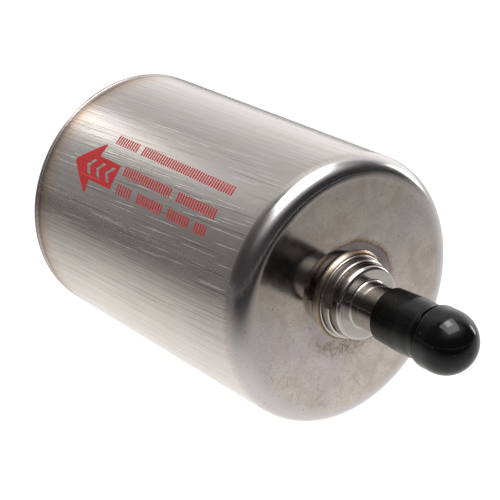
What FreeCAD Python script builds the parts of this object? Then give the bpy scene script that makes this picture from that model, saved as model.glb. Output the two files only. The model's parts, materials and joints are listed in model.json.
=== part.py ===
"""In-line magnetic canister filter for low-pressure fluid lines.

The can's axis is X. +X points along the axis to the inlet end, +Z is up and the
origin is on the axis, half way along the can. Lengths are in millimetres.
"""
import FreeCAD, Part
import math
import os
import re
from collections import namedtuple

import Sketcher

doc = FreeCAD.newDocument("canister_filter")

# ---------------------------------------------------------------- dimensions

SIZES = {
    # drawn can and its cover
    "can_radius": 28.0,
    "can_half": 37.0,
    "can_wall": 0.8,
    "shoulder": 4.0,
    "cover_thickness": 1.2,
    "cover_edge": 0.2,
    "skirt_length": 2.8,
    "weld_half": 0.35,
    "weld_round": 0.9,
    "neck_drop": 0.08,
    "neck_length": 1.8,
    "neck_ramp": 0.2,
    # end fitting: distances are measured outward from the can's end face
    "boss_radius": 8.6,
    "boss_height": 1.35,
    "boss_edge": 0.14,
    "step_radius": 7.9,
    "groove_start": 1.75,
    "groove_end": 3.1,
    "groove_radius": 7.0,
    "collar_radius": 7.3,
    "collar_front": 3.6,
    "spigot_radius": 7.0,
    "spigot_depth": 2.4,
    "braze_radius": 9.35,
    "braze_height": 1.0,
    "braze_land": 0.08,
    "braze_hollow": 1.4,
    "split_outer": 8.16,
    "split_edge": 0.2,
    "split_gap": 32.0,
    "split_turn": -17.0,
    # hose stub for 3/8 inch hose
    "tube_radius": 4.7625,
    "bore_radius": 3.55,
    "flange_radius": 7.73,
    "flange_front": 5.55,
    "flange_round": 0.9,
    "root_round": 0.45,
    "bead_radius": 5.5,
    "bead_start": 23.4,
    "bead_end": 25.6,
    "tube_end": 28.6,
    "tube_edge": 0.3,
    # transport cap
    "cap_mouth": 11.9,
    "cap_mouth_radius": 5.5,
    "cap_mouth_edge": 0.15,
    "cap_bore_end": 22.4,
    "cap_swell": 18.4,
    "cap_swell_radius": 5.8,
    "cap_crease": 22.8,
    "cap_crease_width": 0.9,
    "cap_crease_radius": 5.5,
    "cap_head_bore": 24.0,
    "cap_head_round": 2.6,
    "cap_head_radius": 6.3,
    "cap_wall": 0.59,
    "cap_tip": 33.1,
    "cap_gap": 0.05,
    # magnet pack
    "spring_height": 6.0,
    "plate_radius": 27.1,
    "plate_thickness": 1.2,
    "slot_inner": 21.6,
    "slot_outer": 24.2,
    "slot_radius": 1.8,
    "slot_count": 12,
    "magnet_radius": 19.5,
    "magnet_hole": 7.0,
    "magnet_length": 8.0,
    "magnet_edge": 0.5,
    "rivet_radius": 3.5,
    "rivet_bore": 2.4,
    "rivet_head": 5.5,
    "rivet_head_height": 0.8,
    "preload_radius": 20.0,
    "preload_wire": 0.8,
    "preload_turns": 2.5,
    # spacer between the magnet pack and the element
    "spacer_inner": 14.0,
    "spacer_outer": 15.2,
    "spacer_length": 4.0,
    "notch_depth": 2.6,
    "notch_width": 5.0,
    "notch_count": 6,
    # pleated element
    "disc_radius": 23.6,
    "disc_thickness": 1.2,
    "disc_rim": 0.6,
    "disc_rim_length": 3.0,
    "disc_outlet_hole": 8.0,
    "pleat_inner": 9.6,
    "pleat_outer": 22.4,
    "pleat_fold": 4.0,
    "pleat_count": 36,
    "core_outer": 8.9,
    "core_inner": 8.3,
    "core_hole": 1.3,
    "core_pitch": 5.6,
    "core_columns": 10,
    "cup_inner": 9.4,
    "cup_flange": 14.0,
    "cup_height": 7.1,
    "cup_wall": 0.8,
    "gasket_inner": 9.7,
    "gasket_outer": 13.6,
    "gasket_thickness": 1.5,
    "gasket_edge": 0.3,
    # bypass valve in the middle of the element's inlet disc
    "seat_radius": 6.0,
    "seat_bore": 3.6,
    "seat_flange": 7.2,
    "seat_flange_height": 0.6,
    "seat_face": 2.2,
    "washer_radius": 5.0,
    "washer_thickness": 0.8,
    "poppet_radius": 5.2,
    "poppet_thickness": 1.2,
    "poppet_head": 2.2,
    "poppet_head_height": 0.7,
    "stem_radius": 1.2,
    "stem_length": 12.1,
    "stem_gap": 0.06,
    "cage_flange": 8.1,
    "cage_outer": 7.05,
    "cage_wall": 0.6,
    "cage_depth": 12.8,
    "cage_sheet": 0.8,
    "guide_radius": 2.4,
    "guide_length": 1.6,
    "window_start": 4.5,
    "window_length": 6.0,
    "window_width": 5.0,
    "window_count": 4,
    "valve_spring_radius": 3.4,
    "valve_spring_wire": 0.35,
    "valve_spring_turns": 5.0,
    # clearances
    "fit_gap": 0.03,
    "end_gap": 0.03,
}

sheet = doc.addObject("Spreadsheet::Sheet", "dim")
for row, (alias, size) in enumerate(SIZES.items(), start=1):
    sheet.set(f"A{row}", alias)
    sheet.set(f"B{row}", str(size))
    sheet.setAlias(f"B{row}", alias)
doc.recompute()

WORD = re.compile(r"[a-z_]+")


def bound(text):
    """The expression with each alias written as a cell of the sheet."""
    return WORD.sub(lambda word: f"dim.{word[0]}" if word[0] in SIZES else word[0], text)


# ------------------------------------------------------------------- helpers

Corner = namedtuple("Corner", "u v arc bow", defaults=(None, 1))
CENTRE = 3  # a sketch's name for the centre point of an arc or circle


def number(text):
    """The value of an expression in the sheet's aliases."""
    return float(sheet.evalExpression(bound(text)))


def new_body(label):
    """An empty body for one piece."""
    body = doc.addObject("PartDesign::Body", label)
    body.Label = label
    return body


def new_sketch(body, plane):
    """A sketch on one of the body's own origin planes."""
    sketch = body.newObject("Sketcher::SketchObject", f"{body.Name}_sketch")
    origin_plane = next(item for item in body.Origin.OriginFeatures if item.Role == plane)
    sketch.AttachmentSupport = [(origin_plane, "")]
    sketch.MapMode = "FlatFace"
    return sketch


def constrain(sketch, kind, *where, size):
    """One dimension of a sketch, bound to the sheet."""
    index = sketch.addConstraint(Sketcher.Constraint(kind, *where, number(size)))
    sketch.setExpression(f"Constraints[{index}]", bound(size))


def arc_middle(start, end, radius, bow):
    """Middle point of the arc from start to end that bows to the left (1) or right (-1)."""
    chord = end - start
    reach = radius - math.sqrt(radius ** 2 - (chord.Length / 2) ** 2)
    side = FreeCAD.Vector(-chord.y, chord.x, 0).normalize()
    return (start + end) * 0.5 + side * (reach * bow)


def draw_outline(sketch, corners):
    """Closed outline. A corner's arc is the radius of the edge that leaves it.

    A half circle runs parallel to the v axis, so its centre has the u of its ends.
    """
    points = [FreeCAD.Vector(number(corner.u), number(corner.v), 0) for corner in corners]
    ends = []
    for index, corner in enumerate(corners):
        start = points[index]
        end = points[(index + 1) % len(points)]
        if corner.arc is None:
            edge = sketch.addGeometry(Part.LineSegment(start, end), False)
        else:
            middle = arc_middle(start, end, number(corner.arc), corner.bow)
            edge = sketch.addGeometry(Part.ArcOfCircle(start, middle, end), False)
        starts_first = sketch.getPoint(edge, 1).distanceToPoint(start) < 1e-6
        ends.append((edge, 1, 2) if starts_first else (edge, 2, 1))
    for index, corner in enumerate(corners):
        edge, first, last = ends[index]
        following, entry, _ = ends[(index + 1) % len(ends)]
        sketch.addConstraint(Sketcher.Constraint("Coincident", edge, last, following, entry))
        constrain(sketch, "DistanceX", edge, first, size=corner.u)
        constrain(sketch, "DistanceY", edge, first, size=corner.v)
        if corner.arc is None:
            continue
        chord = points[(index + 1) % len(points)] - points[index]
        if chord.Length < 1.999 * number(corner.arc):
            constrain(sketch, "Radius", edge, size=corner.arc)
        else:
            constrain(sketch, "DistanceX", edge, CENTRE, size=corner.u)


def draw_circle(sketch, u, v, radius):
    """Circle about the point (u, v)."""
    centre = FreeCAD.Vector(number(u), number(v), 0)
    circle = Part.Circle(centre, FreeCAD.Vector(0, 0, 1), number(radius))
    edge = sketch.addGeometry(circle, False)
    constrain(sketch, "DistanceX", edge, CENTRE, size=u)
    constrain(sketch, "DistanceY", edge, CENTRE, size=v)
    constrain(sketch, "Radius", edge, size=radius)


def draw_rectangle(sketch, left, right, low, high):
    """Rectangle between two u and two v values."""
    corners = [(left, low), (right, low), (right, high), (left, high)]
    draw_outline(sketch, [Corner(u, v) for u, v in corners])


def revolve(body, corners, sweep="360"):
    """Turn an outline of (x, radius) corners about the X axis."""
    sketch = new_sketch(body, "XY_Plane")
    draw_outline(sketch, corners)
    turned = body.newObject("PartDesign::Revolution", f"{body.Name}_turned")
    turned.Profile = sketch
    turned.ReferenceAxis = (sketch, ["H_Axis"])
    turned.Angle = number(sweep)
    turned.setExpression("Angle", bound(sweep))
    turned.Midplane = sweep != "360"
    return turned


def pad(body, sketch, length):
    """Push a sketch on the YZ plane along +X."""
    padded = body.newObject("PartDesign::Pad", f"{body.Name}_pad")
    padded.Profile = sketch
    padded.Length = number(length)
    padded.setExpression("Length", bound(length))
    return padded


def pocket_ring(body, sketch, depth, count, reverse=False):
    """Cut a sketch into the body and repeat the cut about the X axis."""
    doc.recompute()
    whole = body.Shape.Volume
    pocket = body.newObject("PartDesign::Pocket", f"{body.Name}_pocket")
    pocket.Profile = sketch
    pocket.Length = number(depth)
    pocket.setExpression("Length", bound(depth))
    pocket.Reversed = reverse
    doc.recompute()
    one_cut = whole - pocket.Shape.Volume
    if one_cut < 0.01:
        raise RuntimeError(f"{body.Label}: the pocket cuts nothing")
    ring = repeat_about_x(body, pocket, count)
    if abs(whole - ring.Shape.Volume - one_cut * number(count)) > 0.05 * whole:
        raise RuntimeError(f"{body.Label}: the ring of cuts is not complete")


def repeat_about_x(body, feature, count):
    """Polar pattern of a feature about the body's X axis."""
    ring = body.newObject("PartDesign::PolarPattern", f"{body.Name}_ring")
    ring.Originals = [feature]
    x_axis = next(item for item in body.Origin.OriginFeatures if item.Role == "X_Axis")
    ring.Axis = (x_axis, [""])
    ring.Angle = 360
    ring.Occurrences = int(number(count))
    ring.setExpression("Occurrences", bound(count))
    body.Tip = ring
    doc.recompute()
    return ring


def place(body, x="0", roll="0", end_for_end=False):
    """Put a piece at x on the can's axis, rolled about it or turned end for end."""
    if end_for_end:
        body.Placement.Rotation = FreeCAD.Rotation(FreeCAD.Vector(0, 0, 1), 180)
    elif roll != "0":
        body.Placement.Rotation = FreeCAD.Rotation(FreeCAD.Vector(1, 0, 0), number(roll))
        body.setExpression("Placement.Rotation.Angle", bound(roll))
    body.setExpression("Placement.Base.x", bound(x))


def tube(body, start, end, inner, outer, edge=None):
    """Plain ring between two x values, its four edges broken where edge is given."""
    if edge is None:
        corners = [(start, inner), (end, inner), (end, outer), (start, outer)]
    else:
        corners = [
            (f"{start} + {edge}", inner), (f"{end} - {edge}", inner),
            (end, f"{inner} + {edge}"), (end, f"{outer} - {edge}"),
            (f"{end} - {edge}", outer), (f"{start} + {edge}", outer),
            (start, f"{outer} - {edge}"), (start, f"{inner} + {edge}"),
        ]
    return revolve(body, [Corner(x, radius) for x, radius in corners])


# ----------------------------------------------------------- can and end cover

FACE = "can_half"
COVER_INNER = "cover_thickness - can_half"
HOLE = "spigot_radius + fit_gap"


def canister_shell():
    """Deep-drawn can: open at the outlet end, with a hole for the inlet boss."""
    body = new_body("canister_shell")
    inner = "can_radius - can_wall"
    necked = "can_radius - neck_drop"
    shoulder_x = "can_half - shoulder"
    neck_end = f"{COVER_INNER} + neck_length"
    revolve(body, [
        Corner("can_half", HOLE),
        Corner("can_half", "can_radius - shoulder", arc="shoulder", bow=-1),
        Corner(shoulder_x, "can_radius"),
        Corner(f"{neck_end} + neck_ramp", "can_radius"),
        Corner(neck_end, necked),
        Corner(f"{COVER_INNER} + weld_half", necked),
        Corner(COVER_INNER, f"{necked} - weld_half"),
        Corner(COVER_INNER, inner),
        Corner(shoulder_x, inner, arc="shoulder - can_wall", bow=1),
        Corner("can_half - can_wall", "can_radius - shoulder"),
        Corner("can_half - can_wall", HOLE),
    ])
    place(body)


def outlet_end_cover():
    """Pressed cover with a flange as wide as the can and a skirt inside it."""
    body = new_body("outlet_end_cover")
    necked = "can_radius - neck_drop"
    skirt = "can_radius - can_wall - fit_gap"
    skirt_end = f"{COVER_INNER} + skirt_length"
    vee = f"{necked} - weld_half"
    revolve(body, [
        Corner("-can_half", HOLE),
        Corner(COVER_INNER, HOLE),
        Corner(COVER_INNER, f"{skirt} - can_wall"),
        Corner(skirt_end, f"{skirt} - can_wall"),
        Corner(skirt_end, skirt),
        Corner(COVER_INNER, skirt),
        Corner(COVER_INNER, vee),
        Corner(f"{COVER_INNER} - weld_half - neck_drop", "can_radius"),
        Corner("-can_half + cover_edge", "can_radius"),
        Corner("-can_half", "can_radius - cover_edge"),
    ])
    place(body)


def rim_weld_bead():
    """Seam weld that fills the vee between the can's end and the cover."""
    body = new_body("rim_weld_bead")
    foot = "can_radius - neck_drop"
    revolve(body, [
        Corner(COVER_INNER, f"{foot} - weld_half"),
        Corner(f"{COVER_INNER} + weld_half", foot, arc="weld_round", bow=-1),
        Corner(f"{COVER_INNER} - weld_half", foot),
    ])
    place(body)


# ---------------------------------------------------------------- end fittings

def fitting(name, make, roll="0"):
    """The same piece at both ends: at the inlet, and turned end for end at the outlet."""
    inlet = new_body(f"inlet_{name}")
    outlet = new_body(f"outlet_{name}")
    for body in (inlet, outlet):
        make(body)
    place(inlet, FACE, roll=roll)
    place(outlet, f"-{FACE}", end_for_end=True)


def boss(body):
    """Turned boss: foot, step, ring groove and collar, with a spigot through the wall."""
    bore = "tube_radius + fit_gap"
    revolve(body, [
        Corner("-spigot_depth", bore),
        Corner("collar_front", bore),
        Corner("collar_front", "collar_radius"),
        Corner("groove_end", "collar_radius"),
        Corner("groove_end", "groove_radius"),
        Corner("groove_start", "groove_radius"),
        Corner("groove_start", "step_radius"),
        Corner("boss_height", "step_radius"),
        Corner("boss_height", "boss_radius - boss_edge"),
        Corner("boss_height - boss_edge", "boss_radius"),
        Corner("0", "boss_radius"),
        Corner("0", "spigot_radius"),
        Corner("-spigot_depth", "spigot_radius"),
    ])


def split_ring(body):
    """Spring ring with a gap, in the boss's groove. The gap is at -Y until it is rolled."""
    inner = "groove_radius + fit_gap"
    revolve(body, [
        Corner("groove_start + end_gap", inner),
        Corner("groove_end - end_gap", inner),
        Corner("groove_end - end_gap", "split_outer - split_edge"),
        Corner("groove_end - end_gap - split_edge", "split_outer"),
        Corner("groove_start + end_gap", "split_outer"),
    ], sweep="360 - split_gap")


def braze_fillet(body):
    """Hollow-faced ring of braze between the can's face and the boss's foot."""
    root = "boss_radius + fit_gap"
    revolve(body, [
        Corner("0", root),
        Corner("braze_height", root),
        Corner("braze_height", f"{root} + braze_land", arc="braze_hollow", bow=1),
        Corner("0", "braze_radius"),
    ])


def stub(body):
    """Beaded hose tube with a flange that seats on the boss."""
    rise = "(bead_radius - tube_radius)"
    bead_round = f"(bead_end - bead_start) ^ 2 / (8 * {rise}) + {rise} / 2"
    revolve(body, [
        Corner("-spigot_depth", "bore_radius"),
        Corner("tube_end", "bore_radius"),
        Corner("tube_end", "tube_radius - tube_edge"),
        Corner("tube_end - tube_edge", "tube_radius"),
        Corner("bead_end", "tube_radius", arc=bead_round, bow=-1),
        Corner("bead_start", "tube_radius"),
        Corner("flange_front + root_round", "tube_radius", arc="root_round", bow=1),
        Corner("flange_front", "tube_radius + root_round"),
        Corner("flange_front", "flange_radius - flange_round", arc="flange_round", bow=-1),
        Corner("flange_front - flange_round", "flange_radius"),
        Corner("collar_front", "flange_radius"),
        Corner("collar_front", "tube_radius"),
        Corner("-spigot_depth", "tube_radius"),
    ])


def cap(body):
    """Dipped vinyl transport cap: its head sits over the stub's bead and its crease grips behind the bead."""
    bore = "tube_radius + cap_gap"
    head_bore = "cap_head_radius - cap_wall"
    head_centre = "cap_tip - cap_head_radius"
    swell_drop = "(cap_swell_radius - cap_crease_radius)"
    swell_run = "(cap_crease - cap_crease_width - cap_swell)"
    swell_round = f"({swell_run} ^ 2 + {swell_drop} ^ 2) / (2 * {swell_drop})"
    head_rise = "(cap_head_round - cap_head_radius + cap_crease_radius)"
    head_start = f"cap_crease + sqrt(cap_head_round ^ 2 - {head_rise} ^ 2)"
    revolve(body, [
        Corner("cap_mouth", bore),
        Corner("cap_bore_end", bore),
        Corner("cap_head_bore", head_bore),
        Corner(head_centre, head_bore, arc=head_bore, bow=1),
        Corner("cap_tip - cap_wall", "0"),
        Corner("cap_tip", "0", arc="cap_head_radius", bow=-1),
        Corner(head_centre, "cap_head_radius"),
        Corner(head_start, "cap_head_radius", arc="cap_head_round", bow=-1),
        Corner("cap_crease", "cap_crease_radius"),
        Corner("cap_crease - cap_crease_width", "cap_crease_radius", arc=swell_round, bow=-1),
        Corner("cap_swell", "cap_swell_radius"),
        Corner("cap_mouth + cap_mouth_edge", "cap_mouth_radius"),
        Corner("cap_mouth", "cap_mouth_radius - cap_mouth_edge"),
    ])


# -------------------------------------------------- stack: magnet pack to gasket

# x of each piece's inlet-side face, counted down from the can's inlet wall
STACK = (
    ("stack_preload_spring", "spring_height"),
    ("flux_plate_inlet", "plate_thickness"),
    ("magnet_ring", "magnet_length"),
    ("flux_plate_outlet", "plate_thickness"),
    ("stack_spacer", "spacer_length"),
    ("element_inlet_disc", "disc_thickness"),
    ("pleated_media", "0"),
)
FRONT = {}
level = "can_half - can_wall"
for label, thickness in STACK:
    FRONT[label] = level
    level = f"{level} - {thickness}"

# and from the cover inward
CUP_TOP = f"{COVER_INNER} + cup_height"
DISC_BACK = f"{CUP_TOP} + gasket_thickness"
MEDIA_BACK = f"{DISC_BACK} + disc_thickness"
MEDIA_LENGTH = f"{FRONT['pleated_media']} - ({MEDIA_BACK})"


def coil(body, mean, wire, height, turns):
    """Helical spring with its wire between x = 0 and x = height."""
    sketch = new_sketch(body, "XY_Plane")
    draw_circle(sketch, f"{wire} + end_gap", mean, wire)
    helix = body.newObject("PartDesign::AdditiveHelix", f"{body.Name}_coil")
    helix.Profile = sketch
    helix.ReferenceAxis = (sketch, ["H_Axis"])
    helix.Mode = "height-turns-angle"
    rise = f"{height} - 2 * ({wire} + end_gap)"
    helix.Height = number(rise)
    helix.Turns = number(turns)
    helix.setExpression("Height", bound(rise))
    helix.setExpression("Turns", bound(turns))


def stack_preload_spring():
    """Light spring that holds the stack against the outlet end."""
    body = new_body("stack_preload_spring")
    coil(body, "preload_radius", "preload_wire", "spring_height", "preload_turns")
    place(body, f"{FRONT['stack_preload_spring']} - spring_height")


def flux_plate(label):
    """Steel pole plate: a disc with a rivet hole and a ring of radial slots."""
    body = new_body(label)
    sketch = new_sketch(body, "YZ_Plane")
    draw_circle(sketch, "0", "0", "plate_radius")
    draw_circle(sketch, "0", "0", "rivet_radius + fit_gap")
    pad(body, sketch, "plate_thickness")
    slots = new_sketch(body, "YZ_Plane")
    draw_outline(slots, [
        Corner("slot_inner", "-slot_radius"),
        Corner("slot_outer", "-slot_radius", arc="slot_radius", bow=-1),
        Corner("slot_outer", "slot_radius"),
        Corner("slot_inner", "slot_radius", arc="slot_radius", bow=-1),
    ])
    pocket_ring(body, slots, "plate_thickness", "slot_count", reverse=True)
    place(body, f"{FRONT[label]} - plate_thickness")


def magnet_pack():
    """Ring magnet, its centre sleeve and the tubular rivet that clamps the pack."""
    magnet = new_body("magnet_ring")
    tube(magnet, "0", "magnet_length", "magnet_hole", "magnet_radius", edge="magnet_edge")
    place(magnet, f"{FRONT['magnet_ring']} - magnet_length")

    sleeve = new_body("magnet_sleeve")
    tube(sleeve, "0", "magnet_length", "rivet_radius + fit_gap", "magnet_hole - fit_gap")
    place(sleeve, f"{FRONT['magnet_ring']} - magnet_length")

    rivet = new_body("magnet_rivet")
    grip = "magnet_length + 2 * plate_thickness"
    revolve(rivet, [
        Corner("-rivet_head_height", "rivet_bore"),
        Corner(f"{grip} + rivet_head_height", "rivet_bore"),
        Corner(f"{grip} + rivet_head_height", "rivet_head - rivet_head_height / 2"),
        Corner(f"{grip} + rivet_head_height / 2", "rivet_head"),
        Corner(grip, "rivet_head"),
        Corner(grip, "rivet_radius"),
        Corner("0", "rivet_radius"),
        Corner("0", "rivet_head"),
        Corner("-rivet_head_height / 2", "rivet_head"),
        Corner("-rivet_head_height", "rivet_head - rivet_head_height / 2"),
    ])
    place(rivet, f"{FRONT['flux_plate_outlet']} - plate_thickness")


def stack_spacer():
    """Short tube with notches, so that fluid reaches the bypass port inside it."""
    body = new_body("stack_spacer")
    tube(body, "0", "spacer_length", "spacer_inner", "spacer_outer")
    notch = new_sketch(body, "XY_Plane")
    draw_rectangle(notch, "spacer_length - notch_depth", "spacer_length + 1",
                   "-notch_width / 2", "notch_width / 2")
    pocket_ring(body, notch, "spacer_outer + 1", "notch_count", reverse=True)
    place(body, f"{FRONT['stack_spacer']} - spacer_length")


def element_disc(body, hole):
    """End disc of the element, its rim turned down over the pleats on the -X side."""
    revolve(body, [
        Corner("0", hole),
        Corner("0", "disc_radius"),
        Corner("-disc_thickness - disc_rim_length", "disc_radius"),
        Corner("-disc_thickness - disc_rim_length", "disc_radius - disc_rim"),
        Corner("-disc_thickness", "disc_radius - disc_rim"),
        Corner("-disc_thickness", hole),
    ])


def element():
    """Pleated element: two end discs, the media and the perforated core tube."""
    inlet_disc = new_body("element_inlet_disc")
    element_disc(inlet_disc, "seat_radius + fit_gap")
    place(inlet_disc, FRONT["element_inlet_disc"])

    outlet_disc = new_body("element_outlet_disc")
    element_disc(outlet_disc, "disc_outlet_hole")
    place(outlet_disc, DISC_BACK, end_for_end=True)

    media = new_body("pleated_media")
    sketch = new_sketch(media, "YZ_Plane")
    half = "180 / pleat_count"
    draw_outline(sketch, [
        Corner("pleat_inner", "0"),
        Corner("pleat_inner + pleat_fold", "0"),
        polar("pleat_outer", half),
        polar("pleat_inner + pleat_fold", f"2 * {half}"),
        polar("pleat_inner", f"2 * {half}"),
        polar("pleat_outer - pleat_fold", half),
    ])
    pleat = pad(media, sketch, MEDIA_LENGTH)
    repeat_about_x(media, pleat, "pleat_count")
    place(media, MEDIA_BACK)

    core = new_body("element_core_tube")
    tube(core, "0", MEDIA_LENGTH, "core_inner", "core_outer")
    holes = new_sketch(core, "XZ_Plane")
    rows = int(number(f"({MEDIA_LENGTH}) / core_pitch"))
    for row in range(rows):
        draw_circle(holes, f"({MEDIA_LENGTH}) / 2 + core_pitch * ({row} - {rows - 1} / 2)",
                    "0", "core_hole")
    pocket_ring(core, holes, "core_outer + 1", "core_columns")
    place(core, MEDIA_BACK)


def polar(radius, angle):
    """Corner at a radius and an angle in degrees from the sketch's u axis."""
    return Corner(f"({radius}) * cos({angle})", f"({radius}) * sin({angle})")


def outlet_support():
    """Cup that stands on the cover round the outlet, and the gasket on top of it."""
    cup = new_body("element_seat_cup")
    wall = "cup_inner + cup_wall"
    revolve(cup, [
        Corner("0", "cup_inner"),
        Corner("cup_height", "cup_inner"),
        Corner("cup_height", "cup_flange"),
        Corner("cup_height - cup_wall", "cup_flange"),
        Corner("cup_height - cup_wall", wall),
        Corner("0", wall),
    ])
    place(cup, COVER_INNER)

    gasket = new_body("element_outlet_gasket")
    tube(gasket, "0", "gasket_thickness", "gasket_inner", "gasket_outer", edge="gasket_edge")
    place(gasket, CUP_TOP)


# ---------------------------------------------------------------- bypass valve

# the valve's pieces share one frame: x = 0 on the element disc's inlet face
VALVE = FRONT["element_inlet_disc"]
SEAT_FACE = "-seat_face"
WASHER_BACK = f"{SEAT_FACE} - washer_thickness"
POPPET_BACK = f"{WASHER_BACK} - poppet_thickness"
CAGE_FLOOR = "-cage_depth"


def bypass_seat():
    """Turned seat, its flange on the disc's inlet face."""
    body = new_body("bypass_seat")
    revolve(body, [
        Corner(SEAT_FACE, "seat_bore"),
        Corner("seat_flange_height", "seat_bore"),
        Corner("seat_flange_height", "seat_flange"),
        Corner("0", "seat_flange"),
        Corner("0", "seat_radius"),
        Corner(SEAT_FACE, "seat_radius"),
    ])
    place(body, VALVE)


def bypass_poppet():
    """Valve disc with a guide stem on its core side and a head that holds the washer."""
    body = new_body("bypass_poppet")
    revolve(body, [
        Corner(f"{POPPET_BACK} - stem_length", "0"),
        Corner(f"{POPPET_BACK} - stem_length", "stem_radius"),
        Corner(POPPET_BACK, "stem_radius"),
        Corner(POPPET_BACK, "poppet_radius"),
        Corner(WASHER_BACK, "poppet_radius"),
        Corner(WASHER_BACK, "stem_radius"),
        Corner(SEAT_FACE, "stem_radius"),
        Corner(SEAT_FACE, "poppet_head"),
        Corner(f"{SEAT_FACE} + poppet_head_height", "poppet_head"),
        Corner(f"{SEAT_FACE} + poppet_head_height", "0"),
    ])
    place(body, VALVE)


def bypass_washer():
    """Rubber washer that seals on the seat's face."""
    body = new_body("bypass_washer")
    tube(body, WASHER_BACK, SEAT_FACE, "stem_radius + fit_gap", "washer_radius")
    place(body, VALVE)


def bypass_cage():
    """Drawn cage: flange under the disc, windowed wall, floor and stem guide."""
    body = new_body("bypass_cage")
    flange_top = "-disc_thickness"
    inside = "cage_outer - cage_wall"
    guide = "stem_radius + stem_gap"
    sheet_floor = f"{CAGE_FLOOR} - cage_sheet"
    revolve(body, [
        Corner(flange_top, "seat_radius + fit_gap"),
        Corner(flange_top, "cage_flange"),
        Corner(f"{flange_top} - cage_sheet", "cage_flange"),
        Corner(f"{flange_top} - cage_sheet", "cage_outer"),
        Corner(sheet_floor, "cage_outer"),
        Corner(sheet_floor, "guide_radius"),
        Corner(f"{sheet_floor} - guide_length", "guide_radius"),
        Corner(f"{sheet_floor} - guide_length", guide),
        Corner(CAGE_FLOOR, guide),
        Corner(CAGE_FLOOR, inside),
        Corner(f"{flange_top} - cage_sheet", inside),
        Corner(f"{flange_top} - cage_sheet", "seat_radius + fit_gap"),
    ])
    window = new_sketch(body, "XY_Plane")
    window_low = f"{CAGE_FLOOR} + window_start - cage_sheet"
    draw_rectangle(window, window_low, f"{window_low} + window_length",
                   "-window_width / 2", "window_width / 2")
    pocket_ring(body, window, "cage_outer + 1", "window_count", reverse=True)
    place(body, VALVE)


def bypass_spring():
    """Spring between the cage's floor and the poppet."""
    body = new_body("bypass_spring")
    height = f"{POPPET_BACK} - ({CAGE_FLOOR})"
    coil(body, "valve_spring_radius", "valve_spring_wire", height, "valve_spring_turns")
    place(body, f"{VALVE} - cage_depth")


# ----------------------------------------------------------------------- build

canister_shell()
outlet_end_cover()
rim_weld_bead()
fitting("boss", boss)
fitting("split_ring", split_ring, roll="split_turn")
fitting("braze_fillet", braze_fillet)
fitting("stub", stub)
fitting("cap", cap)
stack_preload_spring()
flux_plate("flux_plate_inlet")
magnet_pack()
flux_plate("flux_plate_outlet")
stack_spacer()
element()
outlet_support()
bypass_seat()
bypass_poppet()
bypass_washer()
bypass_cage()
bypass_spring()
doc.recompute()

failed = [item.Name for item in doc.Objects if {"Invalid", "Error"} & set(item.State)]
if failed:
    raise RuntimeError(f"these objects did not build: {failed}")

pieces = [item for item in doc.Objects if item.TypeId == "PartDesign::Body"]
for piece in pieces:
    if piece.Shape.isNull() or not piece.Shape.isValid() or len(piece.Shape.Solids) != 1:
        raise RuntimeError(f"{piece.Label} is not one valid solid")

os.makedirs("parts", exist_ok=True)
for piece in pieces:
    piece.Shape.exportStep(f"parts/{piece.Label}.step")
    print(f"{piece.Label:24s} {piece.Shape.Volume:10.2f} mm3")
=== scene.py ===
"""Looks of an in-line magnetic canister filter.

The part lies along X with its capped inlet at +X. Lengths are in metres. Every CAD piece keeps its
own mesh and gets a procedural material here. The printed flow arrow and the hatched rows beside it
are thin meshes on the can, and the bypass spring is a copy of its CAD mesh.
"""

import json
import math

import bmesh
import bpy
from mathutils import Matrix, Vector


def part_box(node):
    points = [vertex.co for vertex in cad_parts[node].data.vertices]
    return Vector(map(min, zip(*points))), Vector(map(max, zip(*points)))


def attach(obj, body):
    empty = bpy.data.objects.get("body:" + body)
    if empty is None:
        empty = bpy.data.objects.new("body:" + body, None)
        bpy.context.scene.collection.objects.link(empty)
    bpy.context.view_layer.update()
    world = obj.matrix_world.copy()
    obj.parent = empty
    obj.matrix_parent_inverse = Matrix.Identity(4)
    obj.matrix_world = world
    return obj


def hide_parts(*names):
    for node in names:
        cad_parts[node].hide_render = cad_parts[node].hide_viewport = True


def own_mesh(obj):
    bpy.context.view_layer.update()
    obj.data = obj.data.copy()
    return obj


MM = 0.001
DEGREE = math.radians(1)

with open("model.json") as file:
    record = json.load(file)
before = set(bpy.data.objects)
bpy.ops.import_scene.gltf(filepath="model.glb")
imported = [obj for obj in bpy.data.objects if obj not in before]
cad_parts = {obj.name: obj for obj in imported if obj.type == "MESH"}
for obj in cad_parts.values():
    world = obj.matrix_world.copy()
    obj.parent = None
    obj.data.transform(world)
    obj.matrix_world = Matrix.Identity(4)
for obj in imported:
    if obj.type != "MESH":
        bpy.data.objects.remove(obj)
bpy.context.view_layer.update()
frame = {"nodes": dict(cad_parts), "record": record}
nodes = frame["nodes"]

can_low, can_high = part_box("canister_shell")
CAN_RADIUS = can_high.y
FRONT_FACE = can_high.x
FLOOR_Z = can_low.z

# where one look runs into the next, each as the start and end of the change
SIDE_RADII = (27.2 * MM, 27.95 * MM)        # from the shoulder to the side
END_RADII = (26.5 * MM, 22.5 * MM)          # from the shoulder to the flat end
BRUSHED_X = (34.6 * MM, 31.0 * MM)          # from the shoulder to the scratched part of the side
RIM_TINT_X = (-36.4 * MM, -29.4 * MM)       # heat tint beside the rim weld
BOSS_TINT_RADII = (9.3 * MM, 12.4 * MM)     # heat tint round the inlet boss
RINSE_MARK_RADII = (15.6 * MM, 12.0 * MM)   # brown mark below the boss
CAP_HEAD_X = (59.3 * MM, 60.4 * MM)         # from a cap's satin sleeve to its glossy head


# ------------------------------------------------------------------ node graphs


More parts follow.
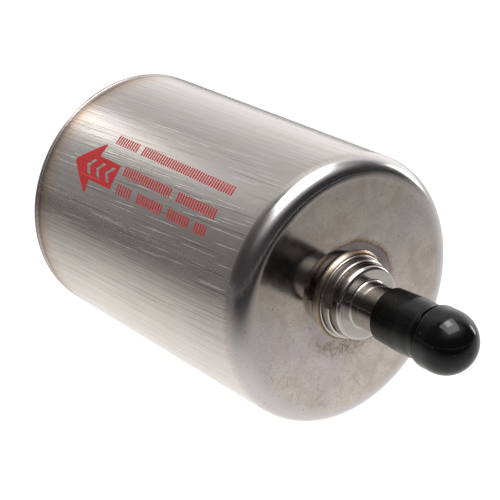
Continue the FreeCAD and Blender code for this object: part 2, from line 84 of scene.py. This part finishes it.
class Graph:
    """A material's node graph around one Principled shader."""

    def __init__(self, name):
        self.material = bpy.data.materials.new(name)
        self.material.use_nodes = True
        self.tree = self.material.node_tree
        self.tree.nodes.clear()
        self.shader = self.tree.nodes.new("ShaderNodeBsdfPrincipled")
        output = self.tree.nodes.new("ShaderNodeOutputMaterial")
        self.tree.links.new(self.shader.outputs[0], output.inputs["Surface"])
        self.place = self.tree.nodes.new("ShaderNodeTexCoord").outputs["Object"]
        self.x, self.y, self.z = self.node("ShaderNodeSeparateXYZ", self.place).outputs
        across = self.scaled(self.place, (0, 1, 1))
        length = self.node("ShaderNodeVectorMath", across, operation="LENGTH")
        self.radius = length.outputs["Value"]

    def feed(self, socket, value):
        """Links a socket to another, or sets its value."""
        if isinstance(value, bpy.types.NodeSocket):
            self.tree.links.new(value, socket)
        else:
            if socket.type == "RGBA":
                value = (*value, 1.0)
            socket.default_value = value

    def node(self, kind, *inputs, **settings):
        """A new node with its settings, and its first inputs fed in order."""
        made = self.tree.nodes.new(kind)
        for name, value in settings.items():
            setattr(made, name, value)
        for socket, value in zip(made.inputs, inputs):
            self.feed(socket, value)
        return made

    def feed_named(self, node, **inputs):
        """Feeds a node's inputs by name, with underscores for the spaces."""
        for name, value in inputs.items():
            self.feed(node.inputs[name.replace("_", " ")], value)

    def math(self, operation, *values):
        return self.node("ShaderNodeMath", *values, operation=operation).outputs[0]

    def add(self, total, *others):
        for other in others:
            total = self.math("ADD", total, other)
        return total

    def times(self, product, *others):
        for other in others:
            product = self.math("MULTIPLY", product, other)
        return product

    def minus(self, a, b):
        return self.math("SUBTRACT", a, b)

    def inverse(self, mask):
        return self.minus(1.0, mask)

    def larger(self, a, b):
        return self.math("MAXIMUM", a, b)

    def past(self, value, limit):
        """How far value is past limit, and 0 before it."""
        return self.larger(self.minus(value, limit), 0.0)

    def absolute(self, value):
        return self.math("ABSOLUTE", value)

    def scaled(self, vector, factors):
        return self.node("ShaderNodeVectorMath", vector, factors, operation="MULTIPLY").outputs[0]

    def shifted(self, vector, offset):
        return self.node("ShaderNodeVectorMath", vector, offset, operation="ADD").outputs[0]

    def twisted(self, vector, angle):
        """The vector turned about the part's axis."""
        made = self.node("ShaderNodeVectorRotate", rotation_type="X_AXIS")
        self.feed_named(made, Vector=vector, Angle=angle)
        return made.outputs[0]

    def noise(self, vector, scale, detail=2.0, roughness=0.5, distortion=0.0):
        made = self.node("ShaderNodeTexNoise")
        self.feed_named(made, Vector=vector, Scale=scale, Detail=detail, Roughness=roughness,
                        Distortion=distortion)
        return made.outputs["Fac"]

    def cells(self, vector, scale):
        """The distance to the nearest of the points scattered through space."""
        made = self.node("ShaderNodeTexVoronoi")
        self.feed_named(made, Vector=vector, Scale=scale)
        return made.outputs["Distance"]

    def straight(self, value, start, end, low=0.0, high=1.0):
        """Runs evenly from low to high while value goes from start to end, and stops there."""
        return self.node("ShaderNodeMapRange", value, start, end, low, high).outputs[0]

    def ease(self, value, start, end, low=0.0, high=1.0):
        """Like straight, with a soft start and end."""
        return self.node("ShaderNodeMapRange", value, start, end, low, high,
                         interpolation_type="SMOOTHSTEP").outputs[0]

    def near(self, value, middle, inner, outer):
        """1 up to inner on both sides of middle, fading to 0 at outer."""
        return self.ease(self.absolute(self.minus(value, middle)), outer, inner)

    def mix(self, amount, a, b, blend="MIX"):
        made = self.node("ShaderNodeMix", amount, data_type="RGBA", blend_type=blend)
        self.feed(made.inputs[6], a)
        self.feed(made.inputs[7], b)
        return made.outputs[2]

    def filtered(self, colour, filter_colour):
        """A colour seen through another."""
        return self.mix(1.0, colour, filter_colour, "MULTIPLY")

    def blend(self, amount, a, b):
        """A number that goes from a to b as amount goes from 0 to 1."""
        made = self.node("ShaderNodeMix", amount, data_type="FLOAT")
        self.feed(made.inputs[2], a)
        self.feed(made.inputs[3], b)
        return made.outputs[0]

    def ramp(self, value, stops):
        made = self.node("ShaderNodeValToRGB", value)
        points = made.color_ramp.elements
        while len(points) < len(stops):
            points.new(0.5)
        for point, (position, colour) in zip(points, stops):
            point.position = position
            point.color = (*colour, 1.0)
        return made.outputs["Color"]

    def bump(self, height, distance, strength, onto=None):
        made = self.node("ShaderNodeBump")
        self.feed_named(made, Height=height, Distance=distance, Strength=strength)
        if onto is not None:
            self.feed_named(made, Normal=onto)
        return made.outputs["Normal"]

    def finish(self, **sockets):
        """Feeds the shader's sockets and gives the material."""
        self.feed_named(self.shader, **sockets)
        return self.material


# ------------------------------------------------------------------ materials


def streaks(g, along, across, twist, seed, detail=3.0):
    """Brush lines along X: noise that changes slowly along the axis and fast around it."""
    turned = g.twisted(g.shifted(g.place, (seed, 0.0, 0.0)), g.times(g.x, twist))
    return g.noise(g.scaled(turned, (along, across, across)), 1.0, detail, 0.6)


def hairs(g, along, across, twist, seed):
    """Straight hair scratches that taper at both ends: cells drawn out along X."""
    turned = g.twisted(g.shifted(g.place, (seed, 0.0, 0.0)), g.times(g.x, twist))
    return g.ease(g.cells(g.scaled(turned, (along, across, across)), 1.0), 0.20, 0.10)


def can_steel():
    """Drawn can: brushed along its side, polished round the shoulder, stained on its flat end."""
    g = Graph("can_steel")
    side = g.ease(g.radius, *SIDE_RADII)
    off_side = g.inverse(side)
    flat_end = g.ease(g.radius, *END_RADII)
    shoulder = g.inverse(g.larger(side, flat_end))
    mottle = g.noise(g.place, 190, 4.0, 0.6, 0.4)
    cloud = g.noise(g.shifted(g.place, (0.3, 0.1, 0.7)), 60, 3.0, 0.5)
    grain = g.noise(g.place, 3200, 2.0, 0.6)

    # brush lines: two sets that cross at a small angle and show in turns, over broad bands
    fine = streaks(g, 9, 4300, 1.5, 1.3, detail=1.0)
    crossing = streaks(g, 11, 3500, 2.3, 2.9, detail=1.0)
    broad = streaks(g, 6, 620, 0.3, 4.1, detail=1.0)
    pressed = g.noise(g.scaled(g.place, (70, 260, 260)), 1.0, 2.0, 0.5)
    lines = g.add(g.times(g.minus(fine, 0.5), g.ease(pressed, 0.40, 0.60, 0.25, 0.95)),
                  g.times(g.minus(crossing, 0.5), g.ease(pressed, 0.62, 0.42, 0.15, 0.95)))
    lines = g.add(g.times(lines, 0.8), 0.55, g.times(broad, 0.12))

    # hair scratches and relief stop at the shoulder and are fainter towards +Y and low down
    brushed = g.times(g.ease(g.x, *BRUSHED_X),
                      g.ease(g.y, -4.0 * MM, -18.0 * MM, 0.22, 1.0),
                      g.ease(g.z, -14.0 * MM, 0.0, 0.45, 1.0))
    scratch = g.larger(hairs(g, 26, 2500, 1.8, 0.11), hairs(g, 34, 2300, 2.7, 0.31))
    dark_hair = g.larger(hairs(g, 24, 1900, 2.3, 0.77), hairs(g, 18, 1700, 1.5, 0.97))

    # the side, with pinkish and yellowish clouds
    hue = g.noise(g.shifted(g.place, (0.8, 0.2, 0.4)), 75, 3.0, 0.55, 0.5)
    side_colour = g.mix(g.ease(lines, 0.45, 0.85), (0.55, 0.503, 0.462), (0.67, 0.623, 0.582))
    side_colour = g.mix(g.ease(hue, 0.50, 0.66, 0.0, 0.45), side_colour, (0.62, 0.565, 0.575))
    side_colour = g.mix(g.ease(hue, 0.48, 0.34, 0.0, 0.45), side_colour, (0.59, 0.572, 0.515))
    side_colour = g.mix(g.times(scratch, brushed, 0.55), side_colour, (0.86, 0.83, 0.80))
    side_colour = g.mix(g.times(dark_hair, brushed, 0.62), side_colour, (0.20, 0.185, 0.175))

    # the flat end, mottled, with painted shade: darker towards its top and lighter towards its
    # bottom
    end_colour = g.mix(g.ease(mottle, 0.38, 0.64), (0.405, 0.355, 0.315), (0.485, 0.44, 0.40))
    end_colour = g.mix(g.ease(cloud, 0.45, 0.62, 0.0, 0.55), end_colour, (0.45, 0.415, 0.43))
    end_colour = g.mix(g.ease(grain, 0.55, 0.30, 0.0, 0.40), end_colour, (0.29, 0.26, 0.24))
    # painted shade: the end's colour is multiplied darker at its top and lighter at its bottom, as
    # its reflections fall
    painted_end_shade = g.mix(g.ease(g.z, 16.0 * MM, -16.0 * MM), (0.87, 0.87, 0.87), (1.17, 1.17, 1.17))
    end_colour = g.filtered(end_colour, painted_end_shade)

    shoulder_colour = (0.53, 0.505, 0.50)
    colour = g.mix(side, shoulder_colour, side_colour)
    colour = g.mix(flat_end, colour, end_colour)

    # heat tint left on the can by the rim weld: brown next to the bead, then straw
    rim = g.add(g.x, g.times(g.minus(cloud, 0.5), 1.6 * MM))
    tint = g.ramp(g.straight(rim, *RIM_TINT_X), [
        (0.0, (0.78, 0.70, 0.68)), (0.10, (0.64, 0.54, 0.52)), (0.20, (0.46, 0.37, 0.34)),
        (0.34, (0.80, 0.68, 0.56)), (0.60, (0.95, 0.87, 0.79)), (1.0, (1.0, 1.0, 1.0))])
    colour = g.mix(side, colour, g.filtered(colour, tint))

    # heat tint on the flat end round the brazed boss, stronger above it
    ring = g.add(g.radius, g.times(g.minus(mottle, 0.5), 1.6 * MM))
    rough_ring = g.add(ring, g.times(g.minus(grain, 0.5), 1.2 * MM))
    halo = g.ramp(g.ease(rough_ring, *BOSS_TINT_RADII), [
        (0.0, (0.46, 0.45, 0.50)), (0.40, (0.56, 0.56, 0.63)), (0.60, (0.42, 0.31, 0.24)),
        (0.80, (0.78, 0.69, 0.61)), (1.0, (1.0, 1.0, 1.0))])
    upper = g.ease(g.z, -2.0 * MM, 7.0 * MM, 0.25, 1.0)
    colour = g.mix(g.times(flat_end, upper), colour, g.filtered(colour, halo))

    # dried rinse marks below the boss: a brown patch close to it and thin outlines further down
    below = g.times(flat_end, g.ease(g.z, -5.0 * MM, -10.0 * MM))
    crumbs = g.noise(g.place, 1500, 3.0, 0.6)
    patch = g.times(g.ease(g.add(ring, g.times(grain, 1.4 * MM)), *RINSE_MARK_RADII),
                    g.ease(mottle, 0.38, 0.54), below, g.ease(crumbs, 0.42, 0.60, 0.35, 1.0))
    colour = g.mix(g.times(patch, 0.85), colour, (0.20, 0.145, 0.105))
    drops = g.noise(g.shifted(g.place, (0.2, 0.5, 0.9)), 120, 4.0, 0.6, 0.6)
    outline = g.times(g.near(drops, 0.5, 0.002, 0.014), below,
                      g.ease(g.y, 10.0 * MM, 2.0 * MM))
    colour = g.mix(g.times(outline, 0.26), colour, (0.25, 0.19, 0.155))

    pits = g.larger(g.ease(g.cells(g.place, 420), 0.085, 0.045),
                    g.ease(g.cells(g.place, 760), 0.10, 0.06))
    colour = g.mix(g.times(pits, off_side), colour, (0.18, 0.17, 0.17))

    rough_side = g.blend(g.ease(lines, 0.4, 0.8), 0.27, 0.17)
    rough_end = g.ease(mottle, 0.3, 0.7, 0.085, 0.14)
    rough_shoulder = 0.20
    rough = g.blend(flat_end, g.blend(side, rough_shoulder, rough_side), rough_end)

    brushing = g.times(side, brushed, g.add(lines, g.times(scratch, -0.45)))
    relief = g.bump(brushing, 0.040 * MM, 1.0)
    polish = g.add(g.times(pits, -1.0), g.times(grain, 0.12))
    relief = g.bump(g.times(polish, off_side), 0.010 * MM, 0.6, relief)
    wave = g.noise(g.place, 95, 1.0, 0.4)
    relief = g.bump(g.times(wave, shoulder), 0.12 * MM, 0.35, relief)

    tangent = g.node("ShaderNodeTangent", direction_type="RADIAL", axis="X").outputs[0]
    return g.finish(Base_Color=colour, Metallic=1.0, Roughness=rough, Anisotropic=0.45,
                    Tangent=tangent, Normal=relief)


def turned_metal(name, low, high, rough, fineness, depth, stain=None, stain_at=0.0, pitted=0.0,
                 ripples=0):
    """Turned metal with rings round the axis and patches of tone between two colours.

    Where asked, it has a stain in its low places, pits, and a number of weld ripples round it.
    """
    g = Graph(name)
    ring_place = g.node("ShaderNodeCombineXYZ", g.times(g.x, fineness),
                        g.times(g.radius, fineness), g.times(g.z, 25.0)).outputs[0]
    rings = g.noise(ring_place, 1.0, 3.0, 0.6)
    patch = g.noise(g.place, 260, 4.0, 0.6, 0.3)
    grain = g.noise(g.place, 5200, 2.0, 0.6)
    tone = g.add(g.times(rings, 0.6), g.times(patch, 0.5))
    colour = g.mix(g.ease(tone, 0.35, 0.75), low, high)
    if stain is not None:
        colour = g.mix(g.ease(patch, stain_at, stain_at - 0.16), colour, stain)
    if pitted:
        pits = g.ease(g.cells(g.place, 900), 0.16, 0.08)
        colour = g.mix(g.times(pits, pitted), colour, (0.10, 0.09, 0.08))
    relief = g.bump(g.add(rings, g.times(grain, 0.3)), depth * MM, 0.8)
    if ripples:
        turn = g.add(g.times(g.math("ARCTAN2", g.z, g.y), ripples), g.times(g.x, 900.0))
        waves = g.add(g.math("SINE", turn), g.times(patch, 1.2))
        relief = g.bump(waves, 0.012 * MM, 0.8, relief)
    return g.finish(Base_Color=colour, Metallic=1.0, Normal=relief,
                    Roughness=g.ease(rings, 0.25, 0.75, rough * 0.7, rough * 1.4))


def plain_stuff(name, low, high, rough, scale, depth, lines=None):
    """Cast, moulded, woven or pressed stuff: two tones in patches over a fine grain."""
    g = Graph(name)
    patch = g.noise(g.place, scale, 4.0, 0.6, 0.2)
    grain = g.noise(g.place, scale * 11.0, 3.0, 0.65)
    body = g.add(g.times(patch, 0.6), g.times(grain, 0.4))
    if lines:
        fibres = g.noise(g.scaled(g.place, lines), 1.0, 2.0, 0.5)
        body = g.add(g.times(body, 0.5), g.times(fibres, 0.5))
    return g.finish(Base_Color=g.mix(g.ease(body, 0.38, 0.62), low, high),
                    Roughness=g.ease(body, 0.3, 0.7, rough * 0.8, rough * 1.2),
                    Normal=g.bump(body, depth * MM, 0.8))


def black_vinyl():
    """Dipped vinyl cap: a satin sleeve and a glossy head, with dust and faint rub marks."""
    g = Graph("black_vinyl")
    head = g.ease(g.absolute(g.x), *CAP_HEAD_X)
    patch = g.noise(g.place, 230, 4.0, 0.55, 0.3)
    grain = g.noise(g.place, 4200, 2.0, 0.6)
    rub = g.noise(g.scaled(g.place, (120, 1500, 1500)), 1.0, 3.0, 0.6)
    dust = g.ease(g.cells(g.place, 620), 0.085, 0.03)
    colour = g.mix(g.ease(patch, 0.35, 0.7), (0.0014, 0.0014, 0.0013), (0.0030, 0.0030, 0.0028))
    colour = g.mix(g.times(dust, 0.35), colour, (0.12, 0.12, 0.12))
    rubbed = g.add(g.times(patch, 0.6), g.times(rub, 0.4))
    sleeve_rough = g.ease(rubbed, 0.35, 0.65, 0.22, 0.31)
    head_rough = g.ease(patch, 0.3, 0.7, 0.085, 0.14)
    relief = g.bump(g.add(g.times(grain, 0.35), g.times(rub, 0.35)), 0.012 * MM, 0.5)
    dents = g.noise(g.place, 130, 2.0, 0.5)
    relief = g.bump(dents, 0.25 * MM, 0.25, relief)
    return g.finish(Base_Color=colour, Roughness=g.blend(head, sleeve_rough, head_rough),
                    Normal=relief, Specular_IOR_Level=0.36)


def red_ink():
    """Screen-printed ink, thinner along the brush lines below it."""
    g = Graph("red_ink")
    lines = streaks(g, 45, 2600, 0.9, 1.3)
    broad = streaks(g, 20, 900, -1.0, 3.3)
    worn = g.ease(g.add(g.times(lines, 0.6), g.times(broad, 0.4)), 0.50, 0.66)
    speck = g.noise(g.place, 2600, 3.0, 0.6)
    colour = g.mix(g.ease(speck, 0.35, 0.7), (0.27, 0.009, 0.011), (0.36, 0.016, 0.018))
    colour = g.mix(g.times(worn, 0.35), colour, (0.46, 0.10, 0.09))
    return g.finish(Base_Color=colour, Roughness=g.ease(speck, 0.3, 0.7, 0.32, 0.48),
                    Normal=g.bump(lines, 0.012 * MM, 0.6), Specular_IOR_Level=0.22)


# name: darker colour, lighter colour, roughness, fineness of the rings, depth of the rings in mm
TURNED = {
    "weld_metal": ((0.50, 0.45, 0.42), (0.68, 0.62, 0.58), 0.22, 1200, 0.004),
    "boss_steel": ((0.42, 0.385, 0.345), (0.62, 0.585, 0.55), 0.20, 3600, 0.010),
    "ring_steel": ((0.46, 0.43, 0.395), (0.72, 0.69, 0.66), 0.20, 2800, 0.008),
    "braze_alloy": ((0.20, 0.155, 0.12), (0.42, 0.34, 0.27), 0.24, 480, 0.05),
    "plated_steel": ((0.46, 0.435, 0.40), (0.56, 0.535, 0.50), 0.14, 4400, 0.0012),
    "spring_steel": ((0.34, 0.34, 0.34), (0.56, 0.56, 0.55), 0.25, 2000, 0.01),
    "pole_steel": ((0.42, 0.42, 0.41), (0.60, 0.60, 0.58), 0.33, 1600, 0.01),
    "zinc_steel": ((0.50, 0.49, 0.44), (0.70, 0.69, 0.64), 0.30, 1400, 0.01),
    "valve_brass": ((0.56, 0.40, 0.16), (0.76, 0.58, 0.28), 0.22, 3200, 0.006),
}
TURNED_EXTRAS = {
    "weld_metal": {"ripples": 130},
    "braze_alloy": {"stain": (0.58, 0.33, 0.15), "stain_at": 0.44, "pitted": 0.6},
    "zinc_steel": {"stain": (0.50, 0.50, 0.48), "stain_at": 0.45},
}
# name: darker colour, lighter colour, roughness, fineness of the patches, depth in mm
PLAIN = {
    "ferrite": ((0.030, 0.029, 0.028), (0.060, 0.058, 0.055), 0.55, 420, 0.05),
    "sleeve_plastic": ((0.62, 0.61, 0.56), (0.72, 0.71, 0.66), 0.42, 300, 0.01),
    "filter_paper": ((0.58, 0.47, 0.27), (0.74, 0.63, 0.40), 0.88, 600, 0.06),
    "seal_rubber": ((0.012, 0.012, 0.012), (0.028, 0.028, 0.027), 0.62, 500, 0.02),
}
PLAIN_EXTRAS = {"filter_paper": {"lines": (300, 4200, 4200)}}

materials = {"can_steel": can_steel(), "black_vinyl": black_vinyl()}
for name, look in TURNED.items():
    materials[name] = turned_metal(name, *look, **TURNED_EXTRAS.get(name, {}))
for name, look in PLAIN.items():
    materials[name] = plain_stuff(name, *look, **PLAIN_EXTRAS.get(name, {}))
INK = red_ink()

for part in frame["record"]["subparts"]:
    node = nodes[part["node"]]
    node.data.materials.clear()
    node.data.materials.append(materials[part["material_slot"]])


# ------------------------------------------------------------------ pieces


PRINT_MIDDLE = 145.2 * DEGREE   # the arrow's place round the can, from +Y towards +Z
INK_TOP = 0.025 * MM            # above the can's face
INK_ROOT = -0.03 * MM           # sunk in the can's face
STRIP = 0.35                    # width in mm of the strips that a print is cut in to bend


def new_piece(name, mesh, material, smooth=True):
    """Puts a mesh in the scene as a piece that stays with the can."""
    piece = bpy.data.objects.new(name, mesh)
    bpy.context.scene.collection.objects.link(piece)
    mesh.materials.append(material)
    if smooth:
        mesh.polygons.foreach_set("use_smooth", [True] * len(mesh.polygons))
    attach(piece, "root")
    return piece


def outline_mesh(outlines):
    """Flat faces filled inside closed outlines; an outline inside another is a hole."""
    curve = bpy.data.curves.new("print", "CURVE")
    curve.dimensions = "2D"
    curve.fill_mode = "BOTH"
    for outline in outlines:
        spline = curve.splines.new("POLY")
        spline.points.add(len(outline) - 1)
        for point, (u, v) in zip(spline.points, outline):
            point.co = (u, v, 0.0, 1.0)
        spline.use_cyclic_u = True
    holder = bpy.data.objects.new("print", curve)
    mesh = bpy.data.meshes.new_from_object(holder)
    bpy.data.objects.remove(holder)
    return mesh


def wrapped_print(name, outlines, middle):
    """A film of ink on the can. u runs along X and v round the can from middle, both in mm."""
    mesh = outline_mesh(outlines)
    build = bmesh.new()
    build.from_mesh(mesh)
    bmesh.ops.remove_doubles(build, verts=build.verts, dist=1e-6)
    reach = max(abs(v.co.y) for v in build.verts)
    steps = int(reach / STRIP) + 1
    for step in range(-steps, steps + 1):
        everything = build.verts[:] + build.edges[:] + build.faces[:]
        bmesh.ops.bisect_plane(build, geom=everything, plane_co=(0, step * STRIP, 0),
                               plane_no=(0, 1, 0))
    film = bmesh.ops.extrude_face_region(build, geom=build.faces[:])
    top = {v for v in film["geom"] if isinstance(v, bmesh.types.BMVert)}
    for vert in build.verts:
        radius = CAN_RADIUS + (INK_TOP if vert in top else INK_ROOT)
        angle = middle + vert.co.y * MM / CAN_RADIUS
        vert.co = (vert.co.x * MM, radius * math.cos(angle), radius * math.sin(angle))
    bmesh.ops.recalc_face_normals(build, faces=build.faces)
    build.to_mesh(mesh)
    build.free()
    new_piece(name, mesh, INK, smooth=False)


def flow_arrow():
    """A plain arrow that points at the outlet, with three bare chevrons in its shaft."""
    outer = [(-25.9, -0.35), (-25.9, 0.35), (-19.3, 5.7), (-18.9, 5.6), (-19.0, 2.75),
             (-11.0, 2.75), (-11.0, -2.75), (-19.0, -2.75), (-18.9, -5.6), (-19.3, -5.7)]
    chevron = [(0.0, 0.0), (1.6, 1.7), (2.7, 1.7), (1.1, 0.0), (2.7, -1.7), (1.6, -1.7)]
    chevrons = [[(tip + u, v) for u, v in chevron] for tip in (-21.8, -18.3, -14.8)]
    wrapped_print("flow_arrow_print", [outer] + chevrons, PRINT_MIDDLE)


def hatched_row(name, words, level):
    """A row of hatched bars, each a run of slanting strokes, level mm round from the arrow."""
    half_height, pitch, stroke, slant = 1.05, 0.78, 0.40, 0.35
    outlines = []
    for start, end in words:
        count = max(2, int((end - start) / pitch))
        step = (end - start) / count
        for i in range(count):
            left = start + i * step
            outlines.append([(left, -half_height), (left + stroke, -half_height),
                             (left + stroke + slant, half_height), (left + slant, half_height)])
    wrapped_print(name, outlines, PRINT_MIDDLE + level * MM / CAN_RADIUS)


def bypass_spring_coil():
    """The bypass spring as a copy of its CAD mesh, shown in place of the CAD spring."""
    mesh = nodes["bypass_spring"].data.copy()
    mesh.materials.clear()
    coil = new_piece("bypass_spring_coil", mesh, materials["spring_steel"])
    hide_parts("bypass_spring")
    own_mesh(coil)


flow_arrow()
hatched_row("print_row_lower", [(-9.0, -3.6), (-1.6, 7.4), (9.2, 16.6), (18.2, 22.2)], 1.9)
hatched_row("print_row_middle", [(-9.4, 7.6), (9.6, 22.6)], -2.0)
hatched_row("print_row_upper", [(-17.4, -9.4), (-8.0, 23.2)], -7.6)
bypass_spring_coil()


# ------------------------------------------------------------------ studio


TABLE_HALF = 3.0
POOL_HALF = 1.75
POOL_LIFT = 0.2 * MM            # keeps the pool clear of the table below it
POOL_REACH = 90 * MM            # how far from the can the pool falls to 1/e
ROOM_RADIUS = 1.7
ROOM_BOTTOM = -0.1

TABLE_GLOW = 0.85
WINDOW_GLOW = 2.3
LAMP_GLOW = 7.0
ROOM_GLOW = 0.045               # the room's darkest part
SOFTBOX_RADIANCE = 3.3
CORE_RADIANCE = 6.0
WORLD_GREY = (0.80, 0.80, 0.80, 1.0)
WORLD_STRENGTH = 1.35


def add_to_stage(name, mesh, material, reflected_only=False):
    """A surface of the set. One that is reflected_only shows in the metal and does nothing else."""
    made = bpy.data.objects.new(name, mesh)
    bpy.context.scene.collection.objects.link(made)
    mesh.materials.append(material)
    if reflected_only:
        made.visible_camera = made.visible_diffuse = False
        made.visible_shadow = made.visible_transmission = False


def white_table():
    """A pale table top that is lit a little from below, so that shadows on it stay faint."""
    g = Graph("studio_floor")
    colour = g.mix(g.noise(g.place, 3, 2.0), (0.18, 0.18, 0.18), (0.21, 0.21, 0.21))
    return g.finish(Base_Color=colour, Roughness=0.9, Emission_Color=(1, 1, 1),
                    Emission_Strength=TABLE_GLOW)


def glowing(g, colour, strength):
    """Ends a graph as a surface that only gives light."""
    return g.finish(Base_Color=(0, 0, 0), Specular_IOR_Level=0.0, Emission_Color=colour,
                    Emission_Strength=strength)


def table_pool():
    """The table as the metal sees it.

    It is a pool of light round the part that fades faster towards -Y and ends in the dark towards
    the camera.
    """
    g = Graph("studio_pool")
    out_x = g.past(g.absolute(g.x), FRONT_FACE)
    out_y = g.past(g.absolute(g.y), CAN_RADIUS)
    away = g.math("SQRT", g.add(g.times(out_x, out_x), g.times(out_y, out_y)))
    beyond = g.past(g.y, CAN_RADIUS)
    before = g.larger(g.minus(-CAN_RADIUS, g.y), 0.0)
    away = g.add(away, g.minus(g.times(before, 0.6), g.times(beyond, 0.9)))
    fall = g.math("POWER", math.e, g.times(away, -1 / POOL_REACH))
    edge = g.minus(g.x, g.times(g.larger(g.y, -70 * MM), 0.8))
    glow = g.times(g.add(0.14, g.times(0.92, fall)), g.ease(edge, 70 * MM, 200 * MM, 1.0, 0.12))
    return glowing(g, (1.0, 0.985, 0.97), glow)


def dark_room():
    """The room above the table.

    It has a white backdrop at +Y that is grey past the outlet end, a small window beyond that, a
    narrow lamp at the side, and a halo round the softbox. It is dark behind the camera.
    """
    g = Graph("studio_room")
    azimuth = g.math("ARCTAN2", g.y, g.x)
    around = g.math("WRAP", azimuth, 300 * DEGREE, -60 * DEGREE)
    flat = g.math("SQRT", g.add(g.times(g.x, g.x), g.times(g.y, g.y)))
    height = g.math("ARCTAN2", g.z, flat)

    white = g.times(g.straight(around, 110 * DEGREE, 205 * DEGREE, 1.5, 0.30),
                    g.ease(around, 64 * DEGREE, 92 * DEGREE),
                    g.ease(height, 14 * DEGREE, 50 * DEGREE, 1.0, 0.58),
                    g.ease(around, 226 * DEGREE, 200 * DEGREE))
    corner = g.times(g.ease(around, 120 * DEGREE, 150 * DEGREE),
                     g.ease(around, 215 * DEGREE, 185 * DEGREE),
                     g.ease(height, 40 * DEGREE, 62 * DEGREE, 0.0, 0.32))
    grey = g.times(g.ease(around, 250 * DEGREE, 205 * DEGREE),
                   g.ease(around, 150 * DEGREE, 200 * DEGREE, 0.0, 0.20))
    halo = g.times(g.ease(height, 24 * DEGREE, 62 * DEGREE, 0.0, 1.3),
                   g.ease(g.math("COSINE", azimuth), 0.1, 1.0, 0.08, 1.0))
    window = g.times(g.near(around, 188 * DEGREE, 2 * DEGREE, 15 * DEGREE),
                     g.near(height, 30 * DEGREE, 2 * DEGREE, 10 * DEGREE), WINDOW_GLOW)
    lamp = g.times(g.near(around, 80 * DEGREE, 2 * DEGREE, 5 * DEGREE),
                   g.near(height, 5 * DEGREE, 12 * DEGREE, 16 * DEGREE), LAMP_GLOW)
    return glowing(g, (0.985, 0.985, 1.0),
                   g.add(white, grey, corner, halo, window, lamp, ROOM_GLOW))


def square(name, half, z):
    mesh = bpy.data.meshes.new(name)
    corners = [(-half, -half, z), (half, -half, z), (half, half, z), (-half, half, z)]
    mesh.from_pydata(corners, [], [(0, 1, 2, 3)])
    return mesh


def open_dome(name, radius, bottom):
    """A ball with everything below bottom cut away."""
    mesh = bpy.data.meshes.new(name)
    build = bmesh.new()
    bmesh.ops.create_uvsphere(build, u_segments=48, v_segments=24, radius=radius)
    low = [v for v in build.verts if v.co.z < bottom]
    bmesh.ops.delete(build, geom=low, context="VERTS")
    build.to_mesh(mesh)
    build.free()
    return mesh


def area_light(name, place, size, radiance):
    """A soft rectangular light of an even radiance that faces straight down."""
    data = bpy.data.lights.new(name, "AREA")
    data.shape = "RECTANGLE"
    data.size, data.size_y = size
    data.energy = radiance * math.pi * size[0] * size[1]
    light = bpy.data.objects.new(name, data)
    bpy.context.scene.collection.objects.link(light)
    light.rotation_mode = "QUATERNION"
    light.rotation_quaternion = Vector((0, 0, -1)).to_track_quat("-Z", "Y")
    light.location = place
    light.visible_camera = False
    return light


add_to_stage("studio_floor", square("studio_floor", TABLE_HALF, FLOOR_Z), white_table())
add_to_stage("studio_pool", square("studio_pool", POOL_HALF, FLOOR_Z + POOL_LIFT), table_pool(),
             reflected_only=True)
add_to_stage("studio_room", open_dome("studio_room", ROOM_RADIUS, ROOM_BOTTOM), dark_room(),
             reflected_only=True)

area_light("overhead_softbox", (0.31, 0.0, 0.80), (0.72, 0.74), SOFTBOX_RADIANCE)
core = area_light("softbox_core", (0.13, 0.03, 0.79), (0.26, 0.26), CORE_RADIANCE)
core.visible_diffuse = False

world = bpy.data.worlds.new("studio")
world.use_nodes = True
bpy.context.scene.world = world
sky = world.node_tree.nodes["Background"]
sky.inputs["Color"].default_value = WORLD_GREY
sky.inputs["Strength"].default_value = WORLD_STRENGTH

# the camera as fitted to the photo: its lens in mm, its place, and its axes in the part's frame
LENS, SENSOR = 109.6, 36.0
CAMERA_PLACE = (0.2414, -0.1829, 0.1216)
CAMERA_RIGHT = Vector((0.6119, 0.7909, 0.0))
CAMERA_UP = Vector((-0.2998, 0.2320, 0.9253))
CAMERA_BACK = Vector((0.7318, -0.5662, 0.3791))

camera_data = bpy.data.cameras.new("camera")
camera_data.lens = LENS
camera_data.sensor_width = SENSOR
camera_data.clip_start, camera_data.clip_end = 0.01, 20.0
camera = bpy.data.objects.new("camera", camera_data)
bpy.context.scene.collection.objects.link(camera)
turn = Matrix((CAMERA_RIGHT, CAMERA_UP, CAMERA_BACK)).transposed()
camera.matrix_world = Matrix.Translation(CAMERA_PLACE) @ turn.to_4x4()
bpy.context.scene.camera = camera

bpy.context.scene.view_settings.view_transform = "Standard"
